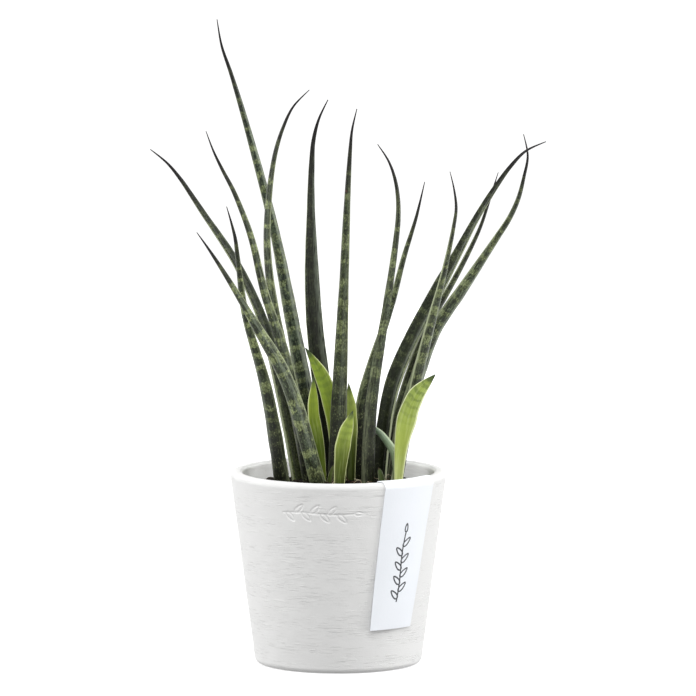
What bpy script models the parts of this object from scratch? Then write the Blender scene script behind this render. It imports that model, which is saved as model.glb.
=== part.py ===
"""A potted snake plant: a tapered pot, its soil, a card label and twenty leaves.

The model's origin is the middle of the pot's base and +Z is up.  The plant's front is -Y.
Sizes are in metres; the leaf tables are in millimetres, because their points are whole ones.
"""
import math
from dataclasses import dataclass

import bpy
import bmesh
import numpy as np
from mathutils import Vector
from mathutils.geometry import interpolate_bezier

MM = 0.001
GAP = 0.0003                    # left between pieces that touch
MERGE = 0.00002                 # corners nearer than this are one

POT_HEIGHT = 0.094
POT_RIM_RADIUS = 0.0525
POT_BASE_RADIUS = 0.0405
POT_WALL = 0.006
POT_FLOOR = 0.007
POT_BASE_ROUND = 0.003
RIM_OUTER_ROUND = 0.0026
RIM_INNER_ROUND = 0.0018
TURN_STEPS = 72
RIM_STEPS = 4                   # stretches in the rim's outer round and the base's round
LIP_STEPS = 3
CORNER_STEPS = 2                # stretches in the rounds inside the pot's foot

SOIL_EDGE_Z = 0.085
SOIL_CROWN = 0.003              # how far the soil's middle stands above its edge
SOIL_RINGS = 5

LABEL_THICKNESS = 0.0005
LABEL_DROP = 0.0725             # from the rim down the outside
LABEL_TUCK = 0.0075             # from the rim down the inside, to just above the soil
LABEL_TOP_WIDTH = 0.031
LABEL_FOOT_WIDTH = 0.0245
LABEL_AZIMUTH = math.radians(-47.0)
LABEL_SWING = math.radians(-7.0)  # the foot of the label hangs nearer the front
LABEL_COLUMNS = 7
LABEL_TUCK_ROWS = 4
LABEL_BEND_STEPS = 2
LABEL_WALL_ROWS = 9
LABEL_WALL_START = 0.006        # from the rim down to where the card lies on the straight wall

LONG_RINGS = 19
YOUNG_RINGS = 11
POCKET_RINGS = 3                # how many of a leaf's lowest rings its pocket in the soil has
SPINE_STEPS = 12                # stretches of smooth curve between two spine points
BACK_STEPS = 6                  # stretches in the round back of a leaf's section
LIP_SIDE = 0.78                 # where the lip and the groove's floor are across, in half widths
GROOVE_SIDE = 0.34
GROOVE_SHARE = 0.7              # how much of the groove's depth lies below the lip

CAST_WHITE = (0.78, 0.78, 0.77)
PEAT_BROWN = (0.05, 0.035, 0.025)
CARD_WHITE = (0.86, 0.88, 0.9)


@dataclass(frozen=True)
class LeafKind:
    """How one kind of leaf changes from its foot to its tip.

    taper, groove and lip are (fraction of length, value) points.  Taper multiplies the
    foot's half width; groove and lip, like back, are in half widths.
    """
    rings: int
    back: float
    taper: tuple
    groove: tuple
    lip: tuple


LONG = LeafKind(
    rings=LONG_RINGS,
    back=0.78,
    taper=((0.0, 1.0), (0.22, 0.96), (0.4, 0.76), (0.55, 0.56), (0.72, 0.42), (0.88, 0.24), (1.0, 0.05)),
    groove=((0.0, 0.55), (0.45, 0.5), (0.75, 0.2), (0.9, 0.0), (1.0, 0.0)),
    lip=((0.0, 0.28), (0.5, 0.3), (0.85, 0.6), (1.0, 0.7)),
)
BROAD = LeafKind(
    rings=LONG_RINGS,
    back=0.72,
    taper=((0.0, 1.0), (0.35, 0.96), (0.55, 0.78), (0.7, 0.46), (0.88, 0.24), (1.0, 0.05)),
    groove=((0.0, 0.6), (0.6, 0.55), (0.85, 0.15), (0.95, 0.0), (1.0, 0.0)),
    lip=((0.0, 0.26), (0.6, 0.28), (0.9, 0.6), (1.0, 0.7)),
)
YOUNG = LeafKind(
    rings=YOUNG_RINGS,
    back=0.42,
    taper=((0.0, 0.52), (0.3, 0.72), (0.6, 1.0), (0.8, 0.82), (0.93, 0.38), (1.0, 0.05)),
    groove=((0.0, 0.3), (0.6, 0.3), (0.9, 0.15), (1.0, 0.0)),
    lip=((0.0, 0.18), (1.0, 0.18)),
)
FLARED = LeafKind(
    rings=YOUNG_RINGS,
    back=0.42,
    taper=((0.0, 0.34), (0.25, 0.52), (0.6, 1.0), (0.8, 0.82), (0.93, 0.38), (1.0, 0.05)),
    groove=((0.0, 0.3), (0.6, 0.3), (0.9, 0.15), (1.0, 0.0)),
    lip=((0.0, 0.18), (1.0, 0.18)),
)
STUB = LeafKind(
    rings=YOUNG_RINGS,
    back=0.8,
    taper=((0.0, 1.0), (0.5, 0.96), (0.8, 0.7), (0.95, 0.35), (1.0, 0.05)),
    groove=((0.0, 0.2), (0.8, 0.15), (1.0, 0.0)),
    lip=((0.0, 0.55), (1.0, 0.7)),
)


@dataclass(frozen=True)
class Leaf:
    """One leaf: its spine from foot to tip, its widest half width, and its facing.

    facing is the direction, in degrees about +Z from +X, in which the groove opens.
    """
    name: str
    kind: LeafKind
    half_width: float
    facing: float
    spine: tuple
    colour: tuple


DARK = (0.045, 0.075, 0.035)
DEEP = (0.03, 0.05, 0.028)
LIME = (0.32, 0.45, 0.09)
OLIVE = (0.2, 0.3, 0.06)
SEA = (0.12, 0.2, 0.13)

LEAVES = (
    Leaf("left_leaf_1", LONG, 3.9, 70, (
        (-26, -3, 80), (-31.3, -5, 115), (-36, -6, 139), (-45, -7, 171), (-48.4, -9, 196),
        (-50, -9, 209), (-54, -10, 224)), DARK),
    Leaf("left_leaf_2", LONG, 4.4, -45, (
        (-17.3, 10, 80), (-24.6, 7, 120), (-35.3, 4, 163), (-48.8, 2, 194), (-66.6, 0, 221.5),
        (-77.6, -1, 238), (-83.6, -2, 245), (-91, -2, 251)), DEEP),
    Leaf("left_leaf_3", BROAD, 3.9, 80, (
        (-7.3, -14, 80), (-19.6, -21, 126), (-27.6, -24, 147), (-37.3, -27, 164), (-51.2, -30, 188),
        (-61.2, -32, 204), (-68, -34, 214)), DARK),
    Leaf("left_leaf_4", LONG, 3.8, 65, (
        (-12, 1, 80), (-25, -1, 146), (-36.2, -2, 183), (-42.1, -3, 208), (-50.4, -3, 230),
        (-59, -4, 247), (-64, -4, 260)), DARK),
    Leaf("left_leaf_5", LONG, 4.0, 50, (
        (-14, 18, 80), (-24.3, 15, 137), (-28.2, 14, 156), (-33, 13, 184), (-34.6, 12, 210),
        (-31.6, 10, 243), (-26.6, 9, 261), (-21.7, 8, 271), (-14, 8, 279)), DARK),
    Leaf("middle_leaf_1", LONG, 4.3, 100, (
        (-8.4, 29, 80), (-15.7, 28, 125), (-23.8, 27, 170), (-31.8, 26, 211), (-45.2, 25, 262),
        (-53, 24, 288), (-57, 24, 300), (-59, 24, 312)), DARK),
    Leaf("middle_leaf_2", BROAD, 4.6, -80, (
        (-1, 12, 80), (-3.9, 12, 102), (-7.9, 12, 132), (-11.9, 11, 169), (-13.3, 11, 215),
        (-12.3, 10, 252), (-9.3, 10, 265), (-5, 10, 274)), DEEP),
    Leaf("middle_leaf_3", LONG, 4.3, 70, (
        (-1.3, -7, 80), (0.7, -9, 135), (2.7, -12, 185), (4.7, -14, 234), (6.7, -16, 262),
        (9, -16, 272)), DARK),
    Leaf("right_leaf_1", LONG, 4.3, 145, (
        (13.5, -10, 80), (15.5, -12, 126), (22, -14, 169), (27, -16, 202), (29, -17, 225),
        (26, -17, 243), (19, -18, 255)), DARK),
    Leaf("right_leaf_2", LONG, 3.8, 130, (
        (8.6, 5, 80), (11.2, 6, 125), (16.9, 7, 147), (26, 8, 175), (32.1, 9, 198), (37.7, 9, 216),
        (42, 10, 234)), DARK),
    Leaf("right_leaf_3", BROAD, 4.5, -130, (
        (19, 5, 80), (21, 6, 105), (25.7, 8, 133), (34, 10, 154), (45.9, 11, 177), (56.4, 12, 196),
        (69, 14, 219), (83, 15, 240), (92, 16, 249), (101, 16, 253)), DEEP),
    Leaf("right_leaf_4", BROAD, 3.8, 140, (
        (26.5, -2, 80), (32, -3, 110), (38, -5, 140), (45, -6, 168), (51, -7, 191), (56, -9, 215),
        (57, -9, 226), (54, -10, 241)), DARK),
    Leaf("right_leaf_5", BROAD, 4.2, 130, (
        (26, 8, 80), (30.5, 9, 112), (38.5, 9, 139), (46.7, 10, 161), (58.6, 10, 179), (73.3, 11, 201),
        (85.7, 11, 221), (91.3, 12, 241), (92, 12, 249), (90, 12, 257)), DARK),
    Leaf("right_leaf_6", LONG, 3.6, 140, (
        (21.4, 17, 80), (30.7, 19, 125), (42.8, 21, 160), (55, 23, 182), (63, 24, 197), (69.5, 24, 211),
        (78, 26, 237)), DEEP),
    Leaf("young_leaf_1", YOUNG, 3.5, -60, (
        (-7, -6, 80), (-9, -7, 104), (-12, -8, 122), (-12, -9, 141)), LIME),
    Leaf("young_leaf_2", YOUNG, 4.3, -100, (
        (-2, 3, 80), (-1, 2, 105), (-3, 1, 124), (-8, 1, 140), (-16, 0, 154)), LIME),
    Leaf("young_leaf_3", YOUNG, 4.1, -70, (
        (0, -18, 80), (1, -19, 98), (3, -21, 113), (7, -23, 126)), OLIVE),
    Leaf("young_leaf_4", YOUNG, 3.4, -90, (
        (6, -1, 80), (6, -2, 108), (6, -2, 124), (5, -3, 137)), LIME),
    Leaf("young_leaf_5", FLARED, 5.3, -120, (
        (28.6, -13, 80), (30.5, -14, 107), (33.6, -15, 122), (38, -16, 133), (47, -17, 143)), LIME),
    Leaf("young_leaf_6", STUB, 2.3, 60, (
        (29, -8, 80), (28, -8, 101), (25, -7, 107), (19, -5, 114), (13, -3, 117)), SEA),
)


def material(name, colour, roughness):
    """A plain Principled material."""
    made = bpy.data.materials.new(name)
    made.use_nodes = True
    shader = made.node_tree.nodes["Principled BSDF"]
    shader.inputs["Base Color"].default_value = (*colour, 1.0)
    shader.inputs["Roughness"].default_value = roughness
    shader.inputs["Metallic"].default_value = 0.0
    made.diffuse_color = (*colour, 1.0)
    return made


def add_object(name, mesh, collection, finish=None):
    """Put a mesh in the scene as a named object."""
    made = bpy.data.objects.new(name, mesh)
    collection.objects.link(made)
    if finish:
        made.data.materials.append(finish)
    return made


def arc(centre, radius, start, end, steps):
    """Points on an arc in the profile plane, angles in degrees from +X towards +Z."""
    for step in range(steps + 1):
        angle = math.radians(start + (end - start) * step / steps)
        yield centre[0] + radius * math.cos(angle), centre[1] + radius * math.sin(angle)


def outer_radius(z):
    """The pot's outer radius at a height."""
    return POT_BASE_RADIUS + (POT_RIM_RADIUS - POT_BASE_RADIUS) * z / (POT_HEIGHT - RIM_OUTER_ROUND)


def inner_radius(z):
    """The pot's inner radius at a height."""
    return outer_radius(z) - POT_WALL


def turned(name, profile, collection, finish):
    """A solid turned about Z from (radius, height) points that end on the axis."""
    mesh = bpy.data.meshes.new(name)
    points = [(radius, 0.0, z) for radius, z in profile]
    mesh.from_pydata(points, [(i, i + 1) for i in range(len(points) - 1)], [])
    made = add_object(name, mesh, collection, finish)
    screw = made.modifiers.new("turn", "SCREW")
    screw.axis = "Z"
    screw.angle = math.tau
    screw.steps = screw.render_steps = TURN_STEPS
    screw.use_merge_vertices = True
    screw.merge_threshold = MERGE
    screw.use_smooth_shade = True
    return made


def build_pot(collection):
    """The planter: one wall turned from the inner floor, over the rim, to the base."""
    rim = POT_HEIGHT
    inner_centre = (inner_radius(rim - RIM_INNER_ROUND) + RIM_INNER_ROUND, rim - RIM_INNER_ROUND)
    outer_centre = (POT_RIM_RADIUS - RIM_OUTER_ROUND, rim - RIM_OUTER_ROUND)
    base_centre = (outer_radius(POT_BASE_ROUND) - POT_BASE_ROUND, POT_BASE_ROUND)
    floor_centre = (inner_radius(POT_FLOOR) - POT_BASE_ROUND, POT_FLOOR + POT_BASE_ROUND)
    profile = [(0.0, POT_FLOOR)]
    profile += arc(floor_centre, POT_BASE_ROUND, -90, 0, CORNER_STEPS)
    profile += arc(inner_centre, RIM_INNER_ROUND, 180, 90, LIP_STEPS)
    profile += arc(outer_centre, RIM_OUTER_ROUND, 90, 0, RIM_STEPS)
    profile += arc(base_centre, POT_BASE_ROUND, 0, -90, RIM_STEPS)
    profile.append((0.0, 0.0))
    return turned("pot", profile, collection, material("cast_white", CAST_WHITE, 0.6))


def build_soil(collection, pockets):
    """The soil: a turned plug with a domed top and a pocket around each leaf foot."""
    floor = POT_FLOOR + GAP
    foot_round = POT_BASE_ROUND + GAP
    edge = inner_radius(SOIL_EDGE_Z) - GAP
    shares = [ring / SOIL_RINGS for ring in range(SOIL_RINGS + 1)]
    dome = [(edge * share, SOIL_EDGE_Z + SOIL_CROWN * math.cos(0.5 * math.pi * share)) for share in shares]
    foot_centre = (inner_radius(floor) - GAP - foot_round, floor + foot_round)
    profile = dome + list(arc(foot_centre, foot_round, 0, -90, CORNER_STEPS)) + [(0.0, floor)]
    soil = turned("potting_soil", profile, collection, material("potting_mix", PEAT_BROWN, 0.95))
    cut = soil.modifiers.new("leaf_pockets", "BOOLEAN")
    cut.operation = "DIFFERENCE"
    cut.solver = "EXACT"
    cut.operand_type = "COLLECTION"
    cut.collection = pockets
    return soil


def label_path():
    """The card's middle line, inside to outside, as (radius, height, share of the drop) rows."""
    stand_off = GAP + LABEL_THICKNESS / 2
    lip_z = POT_HEIGHT - RIM_INNER_ROUND
    tucked = [(inner_radius(POT_HEIGHT - drop) - stand_off, POT_HEIGHT - drop)
              for drop in np.linspace(LABEL_TUCK, RIM_INNER_ROUND, LABEL_TUCK_ROWS)]
    tucked += arc((inner_radius(lip_z) + RIM_INNER_ROUND, lip_z),
                  RIM_INNER_ROUND + stand_off, 150, 90, LABEL_BEND_STEPS)
    hanging = list(arc((POT_RIM_RADIUS - RIM_OUTER_ROUND, POT_HEIGHT - RIM_OUTER_ROUND),
                       RIM_OUTER_ROUND + stand_off, 90, 0, RIM_STEPS))
    hanging += [(outer_radius(POT_HEIGHT - drop) + stand_off, POT_HEIGHT - drop)
                for drop in np.linspace(LABEL_WALL_START, LABEL_DROP, LABEL_WALL_ROWS)]
    path = [(radius, z, 0.0) for radius, z in tucked]
    path += [(radius, z, max(0.0, (POT_HEIGHT - z) / LABEL_DROP)) for radius, z in hanging]
    return path


def build_label(collection):
    """A strip of card folded over the rim; it follows the wall inside and out."""
    bm = bmesh.new()
    rows = []
    for radius, z, down in label_path():
        width = LABEL_TOP_WIDTH + (LABEL_FOOT_WIDTH - LABEL_TOP_WIDTH) * down
        middle = LABEL_AZIMUTH + LABEL_SWING * down
        row = []
        for column in range(LABEL_COLUMNS + 1):
            across = width * (column / LABEL_COLUMNS - 0.5)
            angle = middle + across / radius
            row.append(bm.verts.new((radius * math.cos(angle), radius * math.sin(angle), z)))
        rows.append(row)
    for above, below in zip(rows, rows[1:]):
        for column in range(LABEL_COLUMNS):
            bm.faces.new((above[column], below[column], below[column + 1], above[column + 1]))
    mesh = bpy.data.meshes.new("hang_label")
    bm.to_mesh(mesh)
    bm.free()
    label = add_object("hang_label", mesh, collection, material("label_card", CARD_WHITE, 0.7))
    shell = label.modifiers.new("card", "SOLIDIFY")
    shell.thickness = LABEL_THICKNESS
    shell.offset = 0.0
    return label


def smooth_spine(points, count):
    """Evenly spaced points and directions on the smooth curve through the given points."""
    knots = [Vector(point) * MM for point in points]
    last = len(knots) - 1
    slopes = [(knots[min(i + 1, last)] - knots[max(i - 1, 0)]).normalized() for i in range(len(knots))]
    fine = [knots[0]]
    for start, end, leave, arrive in zip(knots, knots[1:], slopes, slopes[1:]):
        reach = (end - start).length / 3
        handles = start + leave * reach, end - arrive * reach
        fine += interpolate_bezier(start, *handles, end, SPINE_STEPS + 1)[1:]
    fine = np.array(fine)
    lengths = np.concatenate(([0.0], np.cumsum(np.linalg.norm(np.diff(fine, axis=0), axis=1))))
    wanted = np.linspace(0.0, lengths[-1], count)
    places = np.stack([np.interp(wanted, lengths, fine[:, axis]) for axis in range(3)], axis=1)
    directions = np.gradient(places, axis=0)
    directions /= np.linalg.norm(directions, axis=1, keepdims=True)
    return places, directions


def along(table, fraction):
    """The value of a (fraction, value) table at a fraction of the leaf's length."""
    return float(np.interp(fraction, [row[0] for row in table], [row[1] for row in table]))


def section(kind, fraction, grooved=True):
    """A leaf's cross section in half widths: a rounded back and a front that is grooved or flat."""
    lip = along(kind.lip, fraction)
    floor = lip - GROOVE_SHARE * along(kind.groove, fraction) if grooved else lip
    outline = []
    for step in range(BACK_STEPS + 1):
        angle = math.pi * step / BACK_STEPS
        outline.append((math.cos(angle), -kind.back * math.sin(angle)))
    outline += [(-LIP_SIDE, lip), (-GROOVE_SIDE, floor), (GROOVE_SIDE, floor), (LIP_SIDE, lip)]
    return outline


def leaf_mesh(leaf, grow=0.0, rings=None):
    """A closed loft of the leaf's sections.

    With grow it is a pocket's cutter: wider all round by that much, and with a flat front.
    rings keeps only the lowest ones.
    """
    places, directions = smooth_spine(leaf.spine, leaf.kind.rings)
    facing = np.array([math.cos(math.radians(leaf.facing)), math.sin(math.radians(leaf.facing)), 0.0])
    bm = bmesh.new()
    loops = []
    for index, (place, direction) in enumerate(zip(places[:rings], directions[:rings])):
        fraction = index / (leaf.kind.rings - 1)
        front = facing - direction * facing.dot(direction)
        front /= np.linalg.norm(front)
        side = np.cross(direction, front)
        scale = leaf.half_width * MM * along(leaf.kind.taper, fraction)
        loop = []
        for x, y in section(leaf.kind, fraction, grooved=not grow):
            stretch = 1.0 + grow / (scale * math.hypot(x, y)) if grow else 1.0
            loop.append(bm.verts.new(place + (side * x + front * y) * scale * stretch))
        loops.append(loop)
    for lower, upper in zip(loops, loops[1:]):
        for i in range(len(lower)):
            j = (i + 1) % len(lower)
            bm.faces.new((lower[i], lower[j], upper[j], upper[i]))
    bm.faces.new(loops[0])
    bm.faces.new(loops[-1])
    bmesh.ops.recalc_face_normals(bm, faces=bm.faces)
    mesh = bpy.data.meshes.new(leaf.name)
    bm.to_mesh(mesh)
    bm.free()
    mesh.shade_smooth()
    return mesh


def build_leaf(leaf, collection, pockets):
    """The leaf, and the cutter that makes its pocket in the soil."""
    made = add_object(leaf.name, leaf_mesh(leaf), collection,
                      material(leaf.name + "_skin", leaf.colour, 0.5))
    cutter = add_object(leaf.name + "_pocket", leaf_mesh(leaf, grow=2 * GAP, rings=POCKET_RINGS), pockets)
    cutter.location.z = -GAP
    cutter.hide_render = True
    cutter.display_type = "WIRE"
    return made


def main():
    """Clear the scene and build the plant."""
    for old in list(bpy.data.objects):
        bpy.data.objects.remove(old, do_unlink=True)
    parts = bpy.data.collections.new("potted_snake_plant")
    pockets = bpy.data.collections.new("soil_pockets")
    for collection in (parts, pockets):
        bpy.context.scene.collection.children.link(collection)
    for leaf in LEAVES:
        build_leaf(leaf, parts, pockets)
    build_pot(parts)
    build_soil(parts, pockets)
    build_label(parts)


main()
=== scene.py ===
"""Looks of a potted snake plant: leaf blades, cast pot, potting mix and card label.

Lengths are metres and +Z is up.  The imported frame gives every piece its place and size:
each leaf follows the centre line of its own CAD node, and the pot, the soil and the
label are measured from theirs.
"""
import sys
import logging
import math
import random
from collections.abc import Callable, Sequence
from dataclasses import dataclass
from enum import Enum
from typing import Any, Optional, Union

import bmesh
import bpy
import numpy as np
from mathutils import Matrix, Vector, noise


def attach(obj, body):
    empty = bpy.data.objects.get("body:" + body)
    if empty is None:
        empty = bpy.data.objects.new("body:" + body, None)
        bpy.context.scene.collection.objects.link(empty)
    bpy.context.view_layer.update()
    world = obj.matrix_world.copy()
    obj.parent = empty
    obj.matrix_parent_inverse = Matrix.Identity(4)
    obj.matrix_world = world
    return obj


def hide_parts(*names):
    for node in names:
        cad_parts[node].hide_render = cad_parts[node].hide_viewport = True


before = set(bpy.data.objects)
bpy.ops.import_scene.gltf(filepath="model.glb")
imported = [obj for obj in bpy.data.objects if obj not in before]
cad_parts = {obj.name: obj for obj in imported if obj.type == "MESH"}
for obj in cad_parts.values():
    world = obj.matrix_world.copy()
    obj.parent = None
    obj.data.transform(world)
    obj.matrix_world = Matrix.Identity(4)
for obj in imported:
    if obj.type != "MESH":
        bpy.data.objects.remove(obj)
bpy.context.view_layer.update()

log = logging.getLogger("potted_snake_plant")

BODY = "root"
WELD = 1e-6

Colour = tuple[float, float, float]
Value = Union["Signal", float, int, bool, str, Sequence[float], bpy.types.Material]
Key = Union[int, str]


def srgb(red: int, green: int, blue: int) -> Colour:
    """A linear colour from display values of 0 to 255.

    Args:
        red: Red display value.
        green: Green display value.
        blue: Blue display value.

    Returns:
        The linear red, green and blue.
    """
    def linear(level: int) -> float:
        """One channel, undone from the display curve."""
        share = level / 255
        return share / 12.92 if share <= 0.04045 else ((share + 0.055) / 1.055) ** 2.4

    return linear(red), linear(green), linear(blue)


# --- node trees -----------------------------------------------------------------------


def maths(operation: str, flipped: bool = False) -> Callable[..., "Signal"]:
    """A method that runs a Math operation on a signal, or Vector Math if a value is a vector.

    Args:
        operation: The node's operation.
        flipped: Whether the signal comes after the other value.

    Returns:
        The method.
    """
    def method(signal: "Signal", *others: Value) -> "Signal":
        """The operation's result."""
        values = (*others, signal) if flipped else (signal, *others)
        vector = any(isinstance(value, Signal) and value.socket.type == "VECTOR" or isinstance(value, tuple)
                     for value in values)
        kind = "ShaderNodeVectorMath" if vector else "ShaderNodeMath"
        return signal.tree.add(kind, {"operation": operation}, dict(enumerate(values)))

    return method


class Signal:
    """One output of a node; arithmetic on it adds the Math or Vector Math nodes it needs."""

    def __init__(self, tree: "Tree", node: bpy.types.Node, output: Key = 0) -> None:
        """Wrap an output.

        Args:
            tree: The tree that the node is in.
            node: The node.
            output: The output's name or number.
        """
        self.tree = tree
        self.node = node
        self.socket = pick(node.outputs, output) if len(node.outputs) else None

    def __getitem__(self, output: Key) -> "Signal":
        """Another output of the same node."""
        return Signal(self.tree, self.node, output)

    __add__ = __radd__ = maths("ADD")
    __sub__, __rsub__ = maths("SUBTRACT"), maths("SUBTRACT", flipped=True)
    __mul__ = __rmul__ = maths("MULTIPLY")
    __truediv__, __rtruediv__ = maths("DIVIDE"), maths("DIVIDE", flipped=True)
    __pow__, __abs__ = maths("POWER"), maths("ABSOLUTE")
    __gt__, __lt__ = maths("GREATER_THAN"), maths("LESS_THAN")
    at_least, at_most = maths("MAXIMUM"), maths("MINIMUM")
    sin, cos = maths("SINE"), maths("COSINE")
    cross, unit = maths("CROSS_PRODUCT"), maths("NORMALIZE")

    def __neg__(self) -> "Signal":
        """The negative."""
        return 0.0 - self

    def rise(self, low: float, high: float) -> "Signal":
        """A smooth step from 0 at low to 1 at high, or down from 1 if high is the lower one."""
        ends = {"From Min": min(low, high), "From Max": max(low, high),
                "To Min": float(low > high), "To Max": float(low < high)}
        return self.tree.add("ShaderNodeMapRange", {"interpolation_type": "SMOOTHSTEP"},
                             {"Value": self, **ends})

    def parts(self) -> tuple["Signal", "Signal", "Signal"]:
        """The vector's X, Y and Z."""
        split = self.tree.add("ShaderNodeSeparateXYZ", None, {"Vector": self})
        return split["X"], split["Y"], split["Z"]


def pick(sockets: Any, key: Key) -> bpy.types.NodeSocket:
    """The socket with that number, or the enabled one with that name."""
    if isinstance(key, int):
        return sockets[key]
    return next(socket for socket in sockets if socket.name == key and socket.enabled)


class Tree:
    """A node tree under construction."""

    def __init__(self, nodes: bpy.types.NodeTree) -> None:
        """Start on a tree."""
        self.nodes = nodes

    def add(self, kind: str, settings: Optional[dict[str, Any]] = None,
            sockets: Optional[dict[Key, Value]] = None, output: Key = 0) -> Signal:
        """Add a node.

        Args:
            kind: The node's type.
            settings: Properties, set first.
            sockets: Input name or number to a number, a tuple or a signal.
            output: The output that the signal stands for.

        Returns:
            The wanted output.
        """
        node = self.nodes.nodes.new(kind)
        for name, value in (settings or {}).items():
            setattr(node, name, value)
        for key, value in (sockets or {}).items():
            self._feed(pick(node.inputs, key), value)
        return Signal(self, node, output)

    def _feed(self, socket: bpy.types.NodeSocket, value: Value) -> None:
        """Link a signal to an input, or set the input's value."""
        if isinstance(value, Signal):
            self.nodes.links.new(value.socket, socket)
            return
        if socket.type == "VECTOR" and isinstance(value, (int, float)):
            value = (value,) * 3
        if socket.type == "RGBA" and len(value) == 3:
            value = (*value, 1.0)
        socket.default_value = value

    def vector(self, x: Value = 0.0, y: Value = 0.0, z: Value = 0.0) -> Signal:
        """A vector from its three parts."""
        return self.add("ShaderNodeCombineXYZ", None, {"X": x, "Y": y, "Z": z})

    def grain(self, place: Value, scale: float, detail: float = 2.0, roughness: float = 0.5) -> Signal:
        """Noise from 0 to 1 at a place.

        Args:
            place: Where to read it.
            scale: Lumps per metre.
            detail: Number of finer layers.
            roughness: How strong the finer layers are.

        Returns:
            The noise value.
        """
        return self.add("ShaderNodeTexNoise", {"noise_dimensions": "3D"},
                        {"Vector": place, "Scale": scale, "Detail": detail, "Roughness": roughness})

    def blend(self, share: Value, first: Value, second: Value, how: str = "MIX") -> Signal:
        """A colour between two, by share."""
        return self.add("ShaderNodeMix", {"data_type": "RGBA", "blend_type": how},
                        {"Factor": share, "A": first, "B": second}, "Result")

    def paint(self, colour: Value, *coats: tuple[Value, Value]) -> Value:
        """A colour under coats, each given as how much of it covers and its own colour."""
        for cover, coat in coats:
            colour = self.blend(cover, colour, coat)
        return colour


class MaterialTree(Tree):
    """A material's nodes around one Principled shader."""

    def __init__(self, name: str) -> None:
        """Make an empty material."""
        self.material = bpy.data.materials.new(name)
        self.material.use_nodes = True
        super().__init__(self.material.node_tree)
        self.nodes.nodes.clear()

    def attribute(self, name: str) -> Signal:
        """A vector attribute of the mesh."""
        return self.add("ShaderNodeAttribute", {"attribute_name": name}, None, "Vector")

    def place(self) -> Signal:
        """The position in the object."""
        return self.add("ShaderNodeTexCoord", None, None, "Object")

    def finish(self, relief: Value, depth: float, **surface: Value) -> bpy.types.Material:
        """Close the material with a Principled shader.

        Args:
            relief: Height of the fine surface, about 0 to 1.
            depth: How deep that relief is, in metres.
            **surface: Principled inputs, with _ for a space.

        Returns:
            The material.
        """
        bump = self.add("ShaderNodeBump", None, {"Strength": 1.0, "Distance": depth, "Height": relief})
        inputs = {name.replace("_", " "): value for name, value in surface.items()}
        shader = self.add("ShaderNodeBsdfPrincipled", None, {**inputs, "Normal": bump})
        self.add("ShaderNodeOutputMaterial", None, {"Surface": shader})
        return self.material


class GeometryTree(Tree):
    """A Geometry Nodes tree with named inputs, which ends in a plain, dressed mesh."""

    def __init__(self, name: str, inputs: dict[str, str]) -> None:
        """Start the tree.

        Args:
            name: The tree's name.
            inputs: Each input's name and kind, such as Float or Int.
        """
        super().__init__(bpy.data.node_groups.new(name, "GeometryNodeTree"))
        faces = self.nodes.interface
        self.keys = {}
        for title, kind in {"Geometry": "Geometry", **inputs, "Material": "Material"}.items():
            socket = faces.new_socket(title, in_out="INPUT", socket_type="NodeSocket" + kind)
            self.keys[title] = socket.identifier
        faces.new_socket("Geometry", in_out="OUTPUT", socket_type="NodeSocketGeometry")
        self.entry = self.add("NodeGroupInput")

    def named(self, name: str) -> Signal:
        """A vector attribute of the geometry."""
        return self.add("GeometryNodeInputNamedAttribute", {"data_type": "FLOAT_VECTOR"}, {"Name": name},
                        "Attribute")

    def store(self, geometry: Signal, name: str, value: Value) -> Signal:
        """The geometry with a vector attribute on its points."""
        return self.add("GeometryNodeStoreNamedAttribute", {"data_type": "FLOAT_VECTOR", "domain": "POINT"},
                        {"Geometry": geometry, "Name": name, "Value": value})

    def chance(self, low: Value, high: Value, seed: Value) -> Signal:
        """A random number for each point."""
        return self.add("FunctionNodeRandomValue", {"data_type": "FLOAT"},
                        {"Min": low, "Max": high, "Seed": seed}, "Value")

    def close(self, geometry: Signal) -> None:
        """End the tree: smooth, real faces in the given material."""
        real = self.add("GeometryNodeRealizeInstances", None, {0: geometry})
        smooth = self.add("GeometryNodeSetShadeSmooth", None, {0: real})
        dressed = self.add("GeometryNodeSetMaterial", None, {0: smooth, "Material": self.entry["Material"]})
        self.add("NodeGroupOutput", None, {0: dressed})

    def grow(self, source: bpy.types.Mesh, name: str, **values: Value) -> bpy.types.Mesh:
        """Run the tree on a mesh.

        Args:
            source: The mesh that goes in.
            name: The new mesh's name.
            **values: The inputs' values, with _ for a space.

        Returns:
            The plain mesh that comes out.
        """
        carrier = new_object(name, source)
        modifier = carrier.modifiers.new(name, "NODES")
        modifier.node_group = self.nodes
        for title, value in values.items():
            modifier[self.keys[title.replace("_", " ")]] = value
        graph = bpy.context.evaluated_depsgraph_get()
        made = bpy.data.meshes.new_from_object(carrier.evaluated_get(graph), depsgraph=graph)
        carrier.modifiers.remove(modifier)
        bpy.data.objects.remove(carrier)
        made.name = name
        return made


# --- meshes ---------------------------------------------------------------------------


def new_object(name: str, data: bpy.types.ID) -> bpy.types.Object:
    """A new object in the scene."""
    made = bpy.data.objects.new(name, data)
    bpy.context.scene.collection.objects.link(made)
    return made


def set_piece(name: str, mesh: bpy.types.Mesh, finish: bpy.types.Material,
              nodes: Sequence[str] = ()) -> bpy.types.Object:
    """Put a finished mesh in the scene as a piece on the root body.

    Args:
        name: The piece's name.
        mesh: Its mesh, in place.
        finish: Its material.
        nodes: The CAD nodes that it stands for.

    Returns:
        The piece's object.
    """
    turn_outward(mesh)
    if not mesh.materials:
        mesh.materials.append(finish)
    piece = new_object(name, mesh)
    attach(piece, BODY)
    if nodes:
        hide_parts(*nodes)
    log.info("%s: %d faces", name, len(mesh.polygons))
    return piece


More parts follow.
